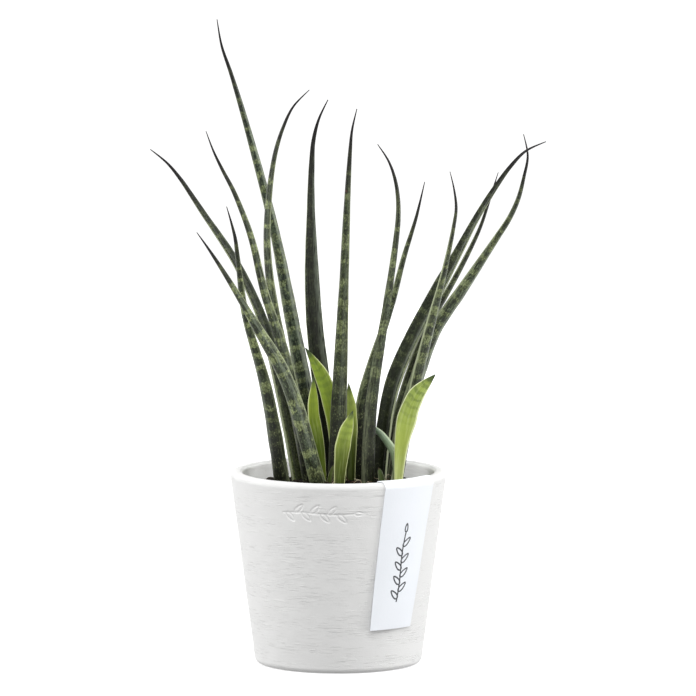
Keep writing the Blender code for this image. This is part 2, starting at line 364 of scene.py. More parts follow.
def read_mesh(mesh: bpy.types.Mesh) -> tuple[np.ndarray, np.ndarray]:
    """A mesh's corner places and its triangles' corner numbers."""
    mesh.calc_loop_triangles()
    places = np.empty(len(mesh.vertices) * 3)
    mesh.vertices.foreach_get("co", places)
    corners = np.empty(len(mesh.loop_triangles) * 3, int)
    mesh.loop_triangles.foreach_get("vertices", corners)
    return places.reshape(-1, 3), corners.reshape(-1, 3)


def turn_outward(mesh: bpy.types.Mesh) -> None:
    """Flip a closed mesh whose faces point inward."""
    places, corners = read_mesh(mesh)
    a, b, c = places[corners].transpose(1, 0, 2)
    if np.einsum("ij,ij->", a, np.cross(b, c)) < 0:
        mesh.flip_normals()


def sheet_over(name: str, loops: np.ndarray, joined: bool = False, ends: bool = False) -> bpy.types.Mesh:
    """A mesh of quads between loops of points.

    Args:
        name: The mesh's name.
        loops: Points as (loop, point, axis).
        joined: Whether the last loop meets the first.
        ends: Whether the first and the last loop are filled.

    Returns:
        The mesh.
    """
    count, around = loops.shape[:2]
    index = np.arange(count * around).reshape(count, around)
    lower = index if joined else index[:-1]
    upper = np.roll(index, -1, axis=0) if joined else index[1:]
    quads = np.stack([lower, np.roll(lower, -1, 1), np.roll(upper, -1, 1), upper], axis=-1)
    faces = quads.reshape(-1, 4).tolist()
    if ends:
        faces += [index[0][::-1].tolist(), index[-1].tolist()]
    mesh = bpy.data.meshes.new(name)
    mesh.from_pydata(loops.reshape(-1, 3).tolist(), [], faces)
    return mesh


def skin_over(name: str, loops: np.ndarray, joined: bool = False, crease: float = 40.0) -> bpy.types.Mesh:
    """A closed skin over loops of points.

    Args:
        name: The mesh's name.
        loops: Points as (loop, point, axis); a loop may shrink to one place.
        joined: Whether the last loop meets the first; if not, the ends are closed.
        crease: Edges sharper than this many degrees stay sharp.

    Returns:
        The mesh.
    """
    mesh = sheet_over(name, loops, joined, ends=not joined)
    bm = bmesh.new()
    bm.from_mesh(mesh)
    bmesh.ops.remove_doubles(bm, verts=bm.verts, dist=WELD)
    bm.to_mesh(mesh)
    bm.free()
    mesh.validate()
    mesh.shade_smooth()
    mesh.set_sharp_from_angle(angle=math.radians(crease))
    return mesh


def join_meshes(name: str, meshes: Sequence[bpy.types.Mesh]) -> bpy.types.Mesh:
    """One mesh of several, which are used up."""
    bm = bmesh.new()
    for mesh in meshes:
        bm.from_mesh(mesh)
        bpy.data.meshes.remove(mesh)
    joined = bpy.data.meshes.new(name)
    bm.to_mesh(joined)
    bm.free()
    joined.shade_smooth()
    return joined


def wire_mesh(name: str, lines: Sequence[np.ndarray], **attributes: Sequence[np.ndarray]) -> bpy.types.Mesh:
    """A mesh of edges only, for trees that follow a path.

    Args:
        name: The mesh's name.
        lines: Each line's points.
        **attributes: Vector attributes, one array for each line.

    Returns:
        The mesh.
    """
    starts = np.cumsum([0] + [len(line) for line in lines])
    edges = [(i, i + 1) for start, stop in zip(starts, starts[1:]) for i in range(start, stop - 1)]
    mesh = bpy.data.meshes.new(name)
    mesh.from_pydata(np.concatenate(lines).tolist(), edges, [])
    for title, values in attributes.items():
        layer = mesh.attributes.new(title, "FLOAT_VECTOR", "POINT")
        layer.data.foreach_set("vector", np.concatenate(values).astype(np.float32).ravel())
    return mesh


def cad_polar(node: str) -> tuple[np.ndarray, np.ndarray, np.ndarray]:
    """A CAD node's corners as radii, angles and heights around the pot's axis."""
    x, y, z = cad_points(node)[0].T
    return np.hypot(x, y), np.arctan2(y, x), z


def cad_points(node: str) -> tuple[np.ndarray, np.ndarray]:
    """A CAD node's merged corners and its triangles.

    Args:
        node: The node's name.

    Returns:
        The corner places, and three corner numbers for each triangle.
    """
    places, corners = read_mesh(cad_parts[node].data)
    keys, index = np.unique(np.round(places / WELD).astype(int), axis=0, return_inverse=True)
    return keys * WELD, index.reshape(-1)[corners]


def smooth_curve(knots: np.ndarray, count: int) -> np.ndarray:
    """Points on a smooth curve through knots, evenly shared between them."""
    padded = np.concatenate([2 * knots[:1] - knots[1:2], knots, 2 * knots[-1:] - knots[-2:-1]])
    where = np.linspace(0, len(knots) - 1, count)
    step = np.minimum(where.astype(int), len(knots) - 2)
    t = (where - step)[:, None]
    a, b, c, d = (padded[step + shift] for shift in range(4))
    bend, twist = 2 * a - 5 * b + 4 * c - d, 3 * b - a - 3 * c + d
    return 0.5 * (2 * b + (c - a) * t + bend * t ** 2 + twist * t ** 3)


# --- leaves ---------------------------------------------------------------------------


@dataclass(frozen=True)
class BladeForm:
    """How one kind of leaf is shaped across, in half widths.

    Each table holds (share of the leaf's length, value) points.
    """

    back: float
    edge: float
    ridges: float
    groove: tuple[tuple[float, float], ...]
    lip: tuple[tuple[float, float], ...]
    rows: int
    around: int = 56

    def at(self, table: tuple[tuple[float, float], ...], shares: np.ndarray) -> np.ndarray:
        """A table's values at shares of the length."""
        return np.interp(shares, [row[0] for row in table], [row[1] for row in table])

    def sections(self, half_widths: np.ndarray, shares: np.ndarray) -> dict[str, list[np.ndarray]]:
        """A centre line's form and back at each section, as point attributes.

        Args:
            half_widths: The blade's half width at each section.
            shares: The sections' shares of the length.

        Returns:
            The attributes, for wire_mesh.
        """
        form = np.stack([half_widths, self.at(self.groove, shares), self.at(self.lip, shares)], axis=1)
        return {"form": [form], "back": [np.tile((self.back, self.edge, 0.0), (len(shares), 1))]}


class LeafForm(Enum):
    """The kinds of leaf on the plant."""

    SPEAR = BladeForm(back=0.78, edge=1.0, ridges=0.016, rows=300,
                      groove=((0.0, 0.62), (0.45, 0.58), (0.72, 0.34), (0.88, 0.08), (1.0, 0.0)),
                      lip=((0.0, 0.28), (0.5, 0.3), (0.85, 0.6), (1.0, 0.72)))
    CHANNELLED = BladeForm(back=0.72, edge=1.0, ridges=0.012, rows=300,
                           groove=((0.0, 0.66), (0.6, 0.62), (0.82, 0.3), (0.94, 0.05), (1.0, 0.0)),
                           lip=((0.0, 0.26), (0.6, 0.28), (0.9, 0.6), (1.0, 0.72)))
    STUB = BladeForm(back=0.8, edge=1.0, ridges=0.01, rows=160,
                     groove=((0.0, 0.2), (0.8, 0.15), (1.0, 0.0)),
                     lip=((0.0, 0.55), (1.0, 0.7)))
    YOUNG = BladeForm(back=0.42, edge=1.5, ridges=0.012, rows=160,
                      groove=((0.0, 0.32), (0.6, 0.36), (0.9, 0.2), (1.0, 0.0)),
                      lip=((0.0, 0.18), (1.0, 0.16)))


class LeafTrace:
    """A CAD leaf read back as a centre line with a half width and a front at each section."""

    SECTION_POINTS = 11

    def __init__(self, node: str) -> None:
        """Read a leaf.

        Args:
            node: The CAD node's name.
        """
        places, triangles = cad_points(node)
        near: dict[int, set[int]] = {}
        for triangle in triangles.tolist():
            for corner in triangle:
                near.setdefault(corner, set()).update(triangle)
        level = set(np.argsort(places[:, 2])[:self.SECTION_POINTS].tolist())
        seen: set[int] = set()
        rings = []
        while level:
            rings.append(places[sorted(level)])
            seen |= level
            level = set().union(*(near[corner] for corner in level)) - seen
        self.spine = np.array([sum(self._margins(ring)) / 2 for ring in rings])
        sides = np.array([np.subtract(*self._margins(ring)) for ring in rings])
        self.half_widths = np.linalg.norm(sides, axis=1) / 2
        self.fronts = self._fronts(rings, sides)

    def _margins(self, ring: np.ndarray) -> tuple[np.ndarray, np.ndarray]:
        """The two corners of a section that are farthest apart."""
        gaps = np.linalg.norm(ring[:, None] - ring[None], axis=2)
        first, second = np.unravel_index(gaps.argmax(), gaps.shape)
        return ring[first], ring[second]

    def _fronts(self, rings: list[np.ndarray], sides: np.ndarray) -> np.ndarray:
        """The way the groove opens at each section: away from the deep back."""
        ahead = np.gradient(self.spine, axis=0)
        fronts = np.cross(sides, ahead)
        fronts /= np.linalg.norm(fronts, axis=1, keepdims=True)
        for i, (ring, middle) in enumerate(zip(rings, self.spine)):
            heights = (ring - middle) @ fronts[i]
            agrees = fronts[i] @ fronts[i - 1] > 0 if i else heights.max() < -heights.min()
            if not agrees:
                fronts[i] *= -1
        return fronts


RIDGE_COUNT = 18.0
GROOVE_FILL = 0.72
GROOVE_SIDES = (0.86, 0.18)
LIP_ROUNDNESS = 0.55
WAVER_SCALE = 60.0


def blade_tree() -> GeometryTree:
    """The tree that grows a leaf blade along its centre line.

    It skins a grid around the line: the back is round, the front has a lip at each margin
    and a groove between, and both ends close to a point.
    """
    tree = GeometryTree("leaf_blade", {"Around": "Int", "Rows": "Int", "Ridges": "Float", "Waver": "Float",
                                       "Seed": "Float"})
    line = tree.add("GeometryNodeMeshToCurve", None, {0: tree.entry["Geometry"]})
    line = tree.add("GeometryNodeCurveSplineType", {"spline_type": "CATMULL_ROM"}, {"Curve": line})
    line = tree.add("GeometryNodeSetSplineResolution", None, {0: line, "Resolution": 12})
    grid = tree.add("GeometryNodeMeshGrid", None, {"Size X": 1.0, "Size Y": 1.0,
                                                   "Vertices X": tree.entry["Around"] + 1,
                                                   "Vertices Y": tree.entry["Rows"] + 1})
    column, row, _ = tree.add("GeometryNodeInputPosition").parts()
    angle = (column + 0.5) * math.tau
    one_row = 1.0 / tree.entry["Rows"]
    share = ((row + 0.5 - one_row) / (1.0 - 2.0 * one_row)).at_least(0.0).at_most(1.0)
    body = (abs(row) < 0.5 - one_row / 2.0)

    def sample(value: Signal, output: Key) -> Signal:
        """A value of the line at the grid point's share of its length."""
        return tree.add("GeometryNodeSampleCurve", {"data_type": "FLOAT_VECTOR", "mode": "FACTOR"},
                        {"Curves": line, "Value": value, "Factor": share}, output)

    form = sample(tree.named("form"), "Value")
    width, groove, lip = form.parts()
    back, edge, _ = sample(tree.named("back"), "Value").parts()
    rough_front = sample(tree.named("front"), "Value")
    ahead = form["Tangent"].unit()
    side = ahead.cross(rough_front).unit()
    front = side.cross(ahead).unit()

    across = angle.cos()
    depth = angle.sin()
    behind = depth > 0.0
    ridge = 1.0 + tree.entry["Ridges"] * (angle * RIDGE_COUNT).cos()
    round_back = -(back * abs(depth) ** edge * ridge)
    dip = abs(across).rise(*GROOVE_SIDES)
    round_front = lip * abs(depth) ** LIP_ROUNDNESS - groove * GROOVE_FILL * dip
    height = behind * round_back + (1.0 - behind) * round_front
    length = tree.add("GeometryNodeCurveLength", None, {0: line}) * share
    drift = tree.grain(tree.vector(tree.entry["Seed"], 0.0, length), WAVER_SCALE, 1.0) - 0.5
    reach = width * body * (1.0 + drift * tree.entry["Waver"])

    skin = tree.vector(across * reach, height * reach, length)
    grown = tree.store(grid["Mesh"], "skin", skin)
    grown = tree.store(grown, "place", tree.vector(across, depth, share))
    spot = form["Position"] + side * (across * reach) + front * (height * reach)
    grown = tree.add("GeometryNodeSetPosition", None, {"Geometry": grown, "Position": spot})
    tree.close(tree.add("GeometryNodeMergeByDistance", None, {"Geometry": grown, "Distance": WELD}))
    return tree


@dataclass(frozen=True)
class SpearFinish:
    """The skin of a grown leaf: dark green with a grey bloom, crossed by ragged pale bands, with painted
    shade and highlights.
    """

    name: str
    dark: Colour = srgb(30, 37, 16)
    grey: Colour = srgb(88, 99, 78)
    pale: Colour = srgb(130, 140, 94)
    # The foot colour is painted shade: the near-black of a leaf's foot in the shade near the soil.
    foot: Colour = srgb(12, 16, 2)
    tip: Colour = srgb(12, 9, 10)
    # Pale margin lines; the painted edge highlight uses this colour too.
    margin: Colour = srgb(168, 176, 142)
    fleck: Colour = srgb(158, 166, 128)
    # The colour of the painted highlight stripe.
    painted_sheen_colour: Colour = srgb(150, 159, 142)
    scar: Colour = srgb(84, 54, 40)
    pitch: float = 0.0078
    contrast: float = 0.8
    bloom: float = 0.5
    flecks: float = 0.4
    lips: float = 0.5
    # The painted highlight stripe: how strong it is, and where it lies across the leaf.
    sheen: float = 0.3
    sheen_at: float = -0.5
    # How far up the leaf the painted foot shade reaches, as a share of its length.
    shaded_foot_share: float = 0.3
    scar_share: float = -1.0
    roughness: float = 0.34
    seed: float = 0.0

    def material(self) -> bpy.types.Material:
        """The leaf's material."""
        tree = MaterialTree(self.name + "_skin")
        skin = tree.attribute("skin")
        across, depth, share = tree.attribute("place").parts()
        along = skin.parts()[2]
        patch = skin + (self.seed * 0.37, self.seed * 0.21, self.seed * 0.53)
        drift = tree.grain(tree.vector(self.seed, 0.0, along), 55.0, 2.0) - 0.5
        wave = tree.grain(patch, 210.0, 2.0) - 0.5
        rag = tree.grain(patch, 800.0, 3.0, 0.7) - 0.5
        cloud = tree.grain(patch * (1.0, 1.0, 0.35), 480.0, 3.0, 0.65)
        streak = tree.grain(patch * (1.0, 1.0, 0.08), 1700.0, 2.0, 0.6)
        speckle = tree.grain(patch * (1.0, 1.0, 0.7), 1250.0, 2.0, 0.7)
        phase = (along / self.pitch + drift * 2.6 + wave * 1.0 + rag * 0.4) * math.tau
        band = (phase.sin() + rag * 2.0 + wave * 1.5).rise(-0.05, 0.6)
        middle = share.rise(0.05, 0.35) * share.rise(0.95, 0.6)
        bloom = (cloud + (streak - 0.5) * 0.35 + middle * 0.08).rise(0.46, 0.66) * self.bloom
        pale = band * (0.55 + 0.45 * cloud.rise(0.35, 0.6)) * self.contrast
        # Painted shade: the foot is painted towards the foot colour, as the shade near the soil.
        foot = (share + wave * 0.1 - band * 0.03).rise(self.shaded_foot_share, self.shaded_foot_share * 0.2)
        shade = 1.0 + (speckle - 0.5) * 5.2 + (streak - 0.5) * 2.0
        # Painted highlight: a pale streaky sheen painted near the edges, in the margin colour.
        edge = abs(across).rise(0.5, 0.95) * depth.rise(-0.1, 0.2) * streak.rise(0.35, 0.6)
        # Painted highlight: a pale streaky stripe along the leaf, painted in the highlight stripe's colour.
        painted_sheen_stripe = (abs(across - self.sheen_at) + wave * 0.3).rise(0.38, 0.08) * streak.rise(0.25, 0.55)
        sheen = painted_sheen_stripe * share.rise(0.08, 0.3) * self.sheen
        fleck = speckle.rise(0.58, 0.68) * (0.45 + 0.55 * band) * self.flecks
        # Painted shade: the groove between the lips is painted darker, as the shade in the channel.
        inner = depth.rise(-0.15, -0.5) * abs(across).rise(0.9, 0.6)
        rim = (abs(across) + rag * 0.03).rise(0.94, 0.99) * share.rise(0.97, 0.8)
        scar = (abs(share - self.scar_share) * 190.0 + abs(across - 0.2) * 1.6 + rag).rise(1.0, 0.6)
        tip = (share + wave * 0.08).rise(0.7, 0.95)
        colour = tree.paint(self.dark, (bloom, self.grey), (pale, self.pale), (foot * 0.92, self.foot))
        colour = tree.blend(1.0, colour, shade.at_least(0.3), "MULTIPLY")
        colour = tree.paint(colour, (edge * 0.2, self.margin), (sheen, self.painted_sheen_colour), (fleck, self.fleck),
                            (inner * 0.55, self.dark), (rim * self.lips, self.margin),
                            (scar * 0.85, self.scar), (tip, self.tip))
        relief = streak * 0.6 + speckle * 0.3 + band * 0.1
        return tree.finish(relief, 0.0001, Base_Color=colour, Roughness=self.roughness + 0.16 * speckle,
                           Specular_IOR_Level=0.24)


@dataclass(frozen=True)
class YoungFinish:
    """The skin of a young leaf: fresh green, pale at the foot and the margins."""

    name: str
    foot: Colour = srgb(176, 188, 112)
    middle: Colour = srgb(132, 152, 62)
    upper: Colour = srgb(110, 132, 52)
    deep: Colour = srgb(84, 108, 16)
    band: Colour = srgb(62, 84, 34)
    tip: Colour = srgb(48, 66, 32)
    margin: Colour = srgb(214, 222, 160)
    banding: float = 0.5
    band_from: float = 0.45
    pitch: float = 0.0042
    roughness: float = 0.4
    seed: float = 0.0

    def material(self) -> bpy.types.Material:
        """The leaf's material."""
        tree = MaterialTree(self.name + "_skin")
        skin = tree.attribute("skin")
        across, _, share = tree.attribute("place").parts()
        along = skin.parts()[2]
        patch = skin + (self.seed * 0.41, self.seed * 0.13, self.seed * 0.29)
        wave = tree.grain(patch, 320.0, 2.0) - 0.5
        rag = tree.grain(patch, 1300.0, 2.0, 0.65) - 0.5
        streak = tree.grain(patch * (1.0, 1.0, 0.06), 1300.0, 2.0, 0.6)
        phase = (along / self.pitch + wave * 0.9 - abs(across) * 0.35) * math.tau
        band = (phase.sin() + rag * 1.6 + wave * 0.8).rise(-0.2, 0.9) * share.rise(self.band_from, 0.9)
        rim = (abs(across) + wave * 0.05).rise(0.82, 0.93) * share.rise(0.995, 0.9)
        colour = tree.paint(self.foot, ((share + wave * 0.1).rise(0.1, 0.45), self.middle),
                            ((share + wave * 0.14).rise(0.4, 0.85), self.upper),
                            (abs(across).rise(0.75, 0.1) * 0.3, self.deep),
                            (band * self.banding, self.band), (streak.rise(0.6, 0.4) * 0.1, self.band),
                            (streak.rise(0.5, 0.7) * 0.12, self.margin), (rim * 0.9, self.margin),
                            ((share + wave * 0.05).rise(0.88, 0.99), self.tip))
        return tree.finish(streak * 0.7 + rag * 0.3, 0.0001, Base_Color=colour,
                           Roughness=self.roughness + 0.12 * streak, Specular_IOR_Level=0.4)


@dataclass(frozen=True)
class Leaf:
    """One leaf: its form, and its finish, which bears its CAD node's name."""

    form: LeafForm
    finish: Union[SpearFinish, YoungFinish]

    @property
    def slot(self) -> str:
        """The record's material slot."""
        return "young_leaf" if self.form is LeafForm.YOUNG else "leaf"

    def build(self, tree: GeometryTree) -> bpy.types.Object:
        """Grow the blade on its CAD node's centre line.

        Args:
            tree: The blade tree.

        Returns:
            The leaf's object.
        """
        form = self.form.value
        name = self.finish.name
        trace = LeafTrace(name)
        shares = np.linspace(0.0, 1.0, len(trace.spine))
        line = wire_mesh(name, [trace.spine], **form.sections(trace.half_widths, shares),
                         front=[trace.fronts])
        skin = self.finish.material()
        mesh = tree.grow(line, name + "_blade", Around=form.around, Rows=form.rows, Ridges=form.ridges,
                         Waver=0.16, Seed=float(self.finish.seed), Material=skin)
        return set_piece(name + "_blade", mesh, skin, [name])


SPEAR, CHANNELLED, STUB, YOUNG = LeafForm

LEAVES = (
    Leaf(SPEAR, SpearFinish("left_leaf_1", seed=1.0, contrast=0.85, bloom=0.2, shaded_foot_share=0.5, sheen_at=0.6,
                            sheen=0.25)),
    # left_leaf_2's foot colour is light: painted light against the shade of the leaves around it.
    Leaf(SPEAR, SpearFinish("left_leaf_2", seed=2.0, contrast=0.35, bloom=0.35, dark=srgb(34, 38, 28),
                            foot=srgb(100, 110, 70), shaded_foot_share=0.36, lips=0.8, sheen=0.4, sheen_at=0.6)),
    Leaf(SPEAR, SpearFinish("left_leaf_3", seed=3.0, contrast=0.85, bloom=0.45, pitch=0.0125,
                            foot=srgb(58, 61, 40), shaded_foot_share=0.12, lips=0.7, sheen=0.4, sheen_at=-0.4)),
    Leaf(SPEAR, SpearFinish("left_leaf_4", seed=4.0, contrast=0.7, bloom=0.25)),
    Leaf(SPEAR, SpearFinish("left_leaf_5", seed=5.0, contrast=0.7, bloom=0.25, pitch=0.0095)),
    Leaf(SPEAR, SpearFinish("middle_leaf_1", seed=6.0, contrast=0.5, bloom=0.45, dark=srgb(34, 43, 32),
                            sheen=0.55)),
    Leaf(CHANNELLED, SpearFinish("middle_leaf_2", seed=7.0, contrast=0.1, bloom=0.2, dark=srgb(28, 30, 22),
                                 flecks=0.08, lips=0.9, sheen=0.8, sheen_at=0.6)),
    Leaf(SPEAR, SpearFinish("middle_leaf_3", seed=8.0, contrast=0.42, bloom=0.3, pitch=0.0105,
                            grey=srgb(86, 99, 62), sheen=0.15, shaded_foot_share=0.45, scar_share=0.79)),
    Leaf(SPEAR, SpearFinish("right_leaf_1", seed=9.0, flecks=0.2, contrast=0.45, bloom=0.35,
                            pitch=0.012, shaded_foot_share=0.45, lips=0.12, sheen_at=-0.75)),
    Leaf(SPEAR, SpearFinish("right_leaf_2", seed=10.0, contrast=0.42, bloom=0.45, shaded_foot_share=0.5,
                            sheen=0.45)),
    Leaf(CHANNELLED, SpearFinish("right_leaf_3", seed=11.0, contrast=0.3, bloom=0.3, dark=srgb(34, 39, 25),
                                 lips=0.9, shaded_foot_share=0.4, sheen=0.4, sheen_at=0.65)),
    Leaf(CHANNELLED, SpearFinish("right_leaf_4", seed=12.0, contrast=0.55, bloom=0.2, shaded_foot_share=0.45,
                                 lips=0.9, sheen=0.4)),
    Leaf(CHANNELLED, SpearFinish("right_leaf_5", seed=13.0, contrast=0.45, bloom=0.5, sheen=0.6)),
    Leaf(SPEAR, SpearFinish("right_leaf_6", seed=14.0, contrast=0.3, bloom=0.3, dark=srgb(32, 36, 24),
                            sheen=0.2)),
    # The darker foot and middle colours of young_leaf_1 to young_leaf_4 are painted shade near the soil.
    Leaf(YOUNG, YoungFinish("young_leaf_1", seed=1.0, foot=srgb(108, 124, 30), middle=srgb(76, 94, 2),
                            upper=srgb(152, 172, 48), banding=0.12)),
    Leaf(YOUNG, YoungFinish("young_leaf_2", seed=2.0, foot=srgb(76, 90, 22), middle=srgb(142, 162, 56),
                            upper=srgb(146, 170, 50), banding=0.35)),
    Leaf(YOUNG, YoungFinish("young_leaf_3", seed=3.0, foot=srgb(40, 44, 10), middle=srgb(92, 104, 30),
                            upper=srgb(174, 194, 84), banding=0.3)),
    Leaf(YOUNG, YoungFinish("young_leaf_4", seed=4.0, foot=srgb(40, 48, 12), middle=srgb(72, 84, 24),
                            upper=srgb(182, 200, 98), tip=srgb(90, 104, 56), banding=0.15)),
    Leaf(YOUNG, YoungFinish("young_leaf_5", seed=5.0, foot=srgb(216, 226, 152), middle=srgb(184, 200, 98),
                            upper=srgb(152, 170, 84), margin=srgb(238, 244, 196), deep=srgb(160, 180, 60),
                            banding=0.5)),
    Leaf(STUB, YoungFinish("young_leaf_6", seed=6.0, foot=srgb(132, 150, 50), middle=srgb(158, 176, 138),
                           upper=srgb(108, 128, 106), margin=srgb(176, 190, 160), deep=srgb(96, 116, 84),
                           banding=0.2)),
)


# --- the sprig motif ------------------------------------------------------------------


@dataclass(frozen=True)
class Sprig:
    """A plain sprig drawn in strokes: a stem with outlined leaves on alternate sides."""

    length: float
    height: float
    leaves: int
    line: float
    LEAF_REACH = 0.62
    LEAF_LEAN = math.radians(44.0)

    def strokes(self) -> list[np.ndarray]:
        """The strokes as (point, axis) arrays, the stem along X and centred on 0."""
        t = np.linspace(0.0, 1.0, 40)
        stem = np.stack([(t - 0.5) * self.length, 0.05 * self.height * np.sin(t * math.tau)], axis=1)
        drawn = [stem]
        reach = self.height * self.LEAF_REACH
        for number in range(self.leaves):
            start = stem[int((0.06 + 0.84 * number / self.leaves) * (len(stem) - 1))]
            drawn.append(start + self._leaf(reach, self.LEAF_LEAN * (1 if number % 2 else -1)))
        drawn.append(stem[-1] + self._leaf(reach * 0.8, 0.0) * 0.9)
        return drawn

    def _leaf(self, reach: float, lean: float) -> np.ndarray:
        """A closed almond outline from 0, leaning away from the stem."""
        turn = np.linspace(0.0, math.tau, 37)
        x = reach * (0.5 - 0.5 * np.cos(turn))
        y = 0.26 * reach * np.sin(turn) * (0.75 + 0.25 * np.cos(turn))
        cos, sin = math.cos(lean), math.sin(lean)
        return np.stack([x * cos - y * sin, x * sin + y * cos], axis=1)

    def distance(self, points: np.ndarray) -> np.ndarray:
        """How far each (point, axis) is from the nearest stroke."""
        nearest = np.full(len(points), np.inf)
        for stroke in self.strokes():
            for start, end in zip(stroke, stroke[1:]):
                run = end - start
                share = np.clip((points - start) @ run / (run @ run), 0.0, 1.0)
                nearest = np.minimum(nearest, np.linalg.norm(points - start - share[:, None] * run, axis=1))
        return nearest


# --- the pot --------------------------------------------------------------------------


class CastPot:
    """The tapered planter: a thick cast wall with rounded rims and a faint pressed sprig."""

    NODE = "pot"
    MARK = Sprig(length=0.036, height=0.0088, leaves=7, line=0.00042)
    MARK_TURN = math.radians(-101.0)
    MARK_DROP = 0.0145
    MARK_DEPTH = 0.00025
    COARSE_STEPS = 150
    FINE_STEP = 0.00022
    ROUGH_SHARE = 0.3
    RIM_ZONE = 0.006
    SWELL, SWELL_SCALE = 0.00009, 130
    NICK, NICK_SCALE = 0.00006, 700
    WAVE, WAVE_SCALE = 0.00012, 260

    def __init__(self) -> None:
        """Measure the CAD pot."""
        radius, _, z = cad_polar(self.NODE)
        self.height = z.max()
        widest = radius.argmax()
        self.rim_radius, self.rim_z = radius[widest], z[widest]
        low = np.flatnonzero(z < self.height / 4)
        foot = low[radius[low].argmax()]
        self.foot_radius, self.foot_round = radius[foot], z[foot]
        high = np.flatnonzero(z > self.height * 0.9)
        lip = high[radius[high].argmin()]
        self.lip_round = self.height - z[lip]
        self.wall = self.outer(z[lip]) - radius[lip]
        self.floor = z[z > self.foot_round * 1.5].min()

    def outer(self, z: float) -> float:
        """The outer wall's radius at a height."""
        slope = (self.rim_radius - self.foot_radius) / (self.rim_z - self.foot_round)
        return self.foot_radius + slope * (z - self.foot_round)

    def inner(self, z: float) -> float:
        """The inner wall's radius at a height."""
        return self.outer(z) - self.wall

    def _profile(self) -> np.ndarray:
        """The turned outline as (radius, height), from under the base to the inner floor."""
        rim_round = self.height - self.rim_z
        mark_middle = self.height - self.MARK_DROP
        mark_reach = self.MARK.height * Sprig.LEAF_REACH
        rows = [(self.foot_radius * share, 0.0) for share in np.linspace(0.0, 0.9, 8)]
        rows += arc((self.foot_radius - self.foot_round, self.foot_round), self.foot_round, -90, 0, 10)
        below = np.linspace(self.foot_round + 0.001, mark_middle - mark_reach, 60)
        marked = np.arange(mark_middle - mark_reach, mark_middle + mark_reach, self.FINE_STEP)[1:]
        above = np.linspace(mark_middle + mark_reach, self.rim_z, 14)[:-1]
        rows += [(self.outer(z), z) for z in (*below, *marked, *above)]
        rows += arc((self.rim_radius - rim_round, self.rim_z), rim_round, 0, 90, 12)
        lip_z = self.height - self.lip_round
        rows += arc((self.inner(lip_z) + self.lip_round, lip_z), self.lip_round, 90, 180, 10)
        rows += [(self.inner(z), z) for z in np.linspace(lip_z, self.floor + self.foot_round, 22)[1:-1]]
        corner = self.inner(self.floor) - self.foot_round
        rows += arc((corner, self.floor + self.foot_round), self.foot_round, 0, -90, 6)
        rows += [(corner * share, self.floor) for share in np.linspace(0.9, 0.0, 8)]
        return np.array(rows)

    def build(self) -> bpy.types.Object:
        """Turn the profile, press the sprig in and roughen the cast edges."""
        profile = self._profile()
        reach = self.MARK.length * 0.6 / self.outer(self.height - self.MARK_DROP)
        fine = np.arange(-reach, reach, self.FINE_STEP / self.rim_radius)
        coarse = np.linspace(reach, math.tau - reach, self.COARSE_STEPS)
        angles = np.concatenate([fine[1:], coarse]) + self.MARK_TURN
        radius, z = np.repeat(profile.T[:, :, None], len(angles), 2)
        outside = np.abs(profile[:, 0] - [self.outer(height) for height in profile[:, 1]]) < WELD * 50
        across = (angles - self.MARK_TURN + math.pi) % math.tau - math.pi
        for row in np.flatnonzero(outside & (profile[:, 1] > self.height * 0.6)):
            spots = np.stack([across * profile[row, 0],
                              np.full(len(angles), profile[row, 1] - self.height + self.MARK_DROP)], axis=1)
            gap = self.MARK.distance(spots)
            radius[row] -= self.MARK_DEPTH * np.clip(1.5 - gap / self.MARK.line, 0.0, 1.0)
        for row, column in np.ndindex(radius.shape):
            spot = Vector((radius[row, column] * math.cos(angles[column]),
                           radius[row, column] * math.sin(angles[column]), z[row, column]))
            if radius[row, column] > self.ROUGH_SHARE * self.rim_radius:
                near_rim = max(0.0, 1.0 - (self.height - z[row, column]) / self.RIM_ZONE)
                radius[row, column] += self.SWELL * noise.fractal(spot * self.SWELL_SCALE, 1.0, 2.0, 3)
                radius[row, column] += self.NICK * near_rim * noise.noise(spot * self.NICK_SCALE)
                wave = noise.noise(spot * self.WAVE_SCALE + Vector((9, 0, 0)))
                z[row, column] += self.WAVE * near_rim * wave
        loops = np.stack([radius * np.cos(angles), radius * np.sin(angles), z], axis=-1)
        return set_piece("cast_pot", skin_over("cast_pot", loops), self.finish(), [self.NODE])

    def finish(self) -> bpy.types.Material:
        """Matte white cast material with faint level scratches and specks, with painted light inside the
        wall and painted shade on the rim's top.
        """
        tree = MaterialTree("cast_white")
        place = tree.place()
        streak = tree.grain(place * (130.0, 130.0, 2000.0), 1.0, 3.0, 0.6)
        broad = tree.grain(place * (26.0, 26.0, 160.0), 1.0, 2.0)
        speck = tree.grain(place, 1500.0, 2.0)
        scratch = streak.rise(0.56, 0.68) * broad.rise(0.36, 0.56)
        dent = streak.rise(0.44, 0.32) * broad.rise(0.36, 0.56)
        east, north, up = place.parts()
        # Painted light: the inside of the wall is painted a brighter white than the outside, as the light
        # inside the pot.
        inside = (self.outer(up) - (east * east + north * north) ** 0.5).rise(self.wall * 0.85, self.wall)
        # Painted shade: the top of the rim is painted greyer, to hold back its glare.
        painted_shade_crown = up.rise(self.height - 0.0035, self.height - 0.0005) * (1.0 - inside)
        colour = tree.paint(srgb(231, 231, 230), (broad, srgb(235, 235, 234)),
                            (scratch * 0.7, srgb(244, 244, 243)), (dent * 0.5, srgb(208, 208, 207)),
                            (speck.rise(0.7, 0.8) * 0.4, srgb(200, 200, 198)),
                            (inside, srgb(253, 253, 252)), (painted_shade_crown * 0.7, srgb(206, 206, 205)))
        relief = scratch * 0.6 - dent * 0.6 + speck * 0.4
        return tree.finish(relief, 0.00012, Base_Color=colour, Roughness=0.62 + 0.12 * speck,
                           Specular_IOR_Level=0.3)


